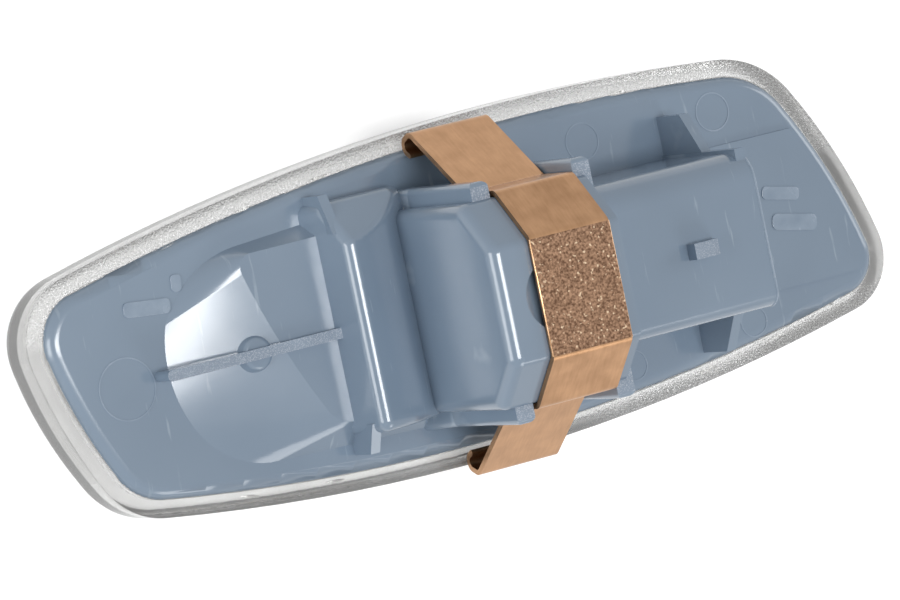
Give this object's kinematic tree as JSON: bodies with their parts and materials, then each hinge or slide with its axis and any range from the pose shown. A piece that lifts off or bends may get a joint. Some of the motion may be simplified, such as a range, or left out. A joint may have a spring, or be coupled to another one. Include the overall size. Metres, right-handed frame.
{
  "type": "vehicle indicator lamp",
  "caption": "Long side indicator lamp: clear lens welded to a grey back housing with a bulb tower, a folded copper-coloured spring clip and a connector shroud.",
  "frame": {"origin": "middle of the spring clip, on the back face of the lens rim that seats on the body panel", "axes": "+X along the lamp towards the mouth of the connector, +Y across it towards its longer curved side, +Z out of the back into the car body"},
  "size_m": [0.1101, 0.0397, 0.0351],
  "materials": {
    "housing": "semi-gloss moulded grey-blue plastic",
    "lens": "clear polished acrylic",
    "spring_clip": "rolled bronze strip",
    "contacts": "tinned stamped strip",
    "bulb_glass": "clear glass",
    "filament": "drawn wire",
    "lead_wires": "drawn wire"
  },
  "bodies": {
    "root": {"housing": "housing", "lens": "lens", "spring_clip": "spring_clip", "low_contact": "contacts", "top_contact": "contacts", "bulb_glass": "bulb_glass", "filament": "filament", "low_lead_wire": "lead_wires", "top_lead_wire": "lead_wires"}
  },
  "joints": []
}
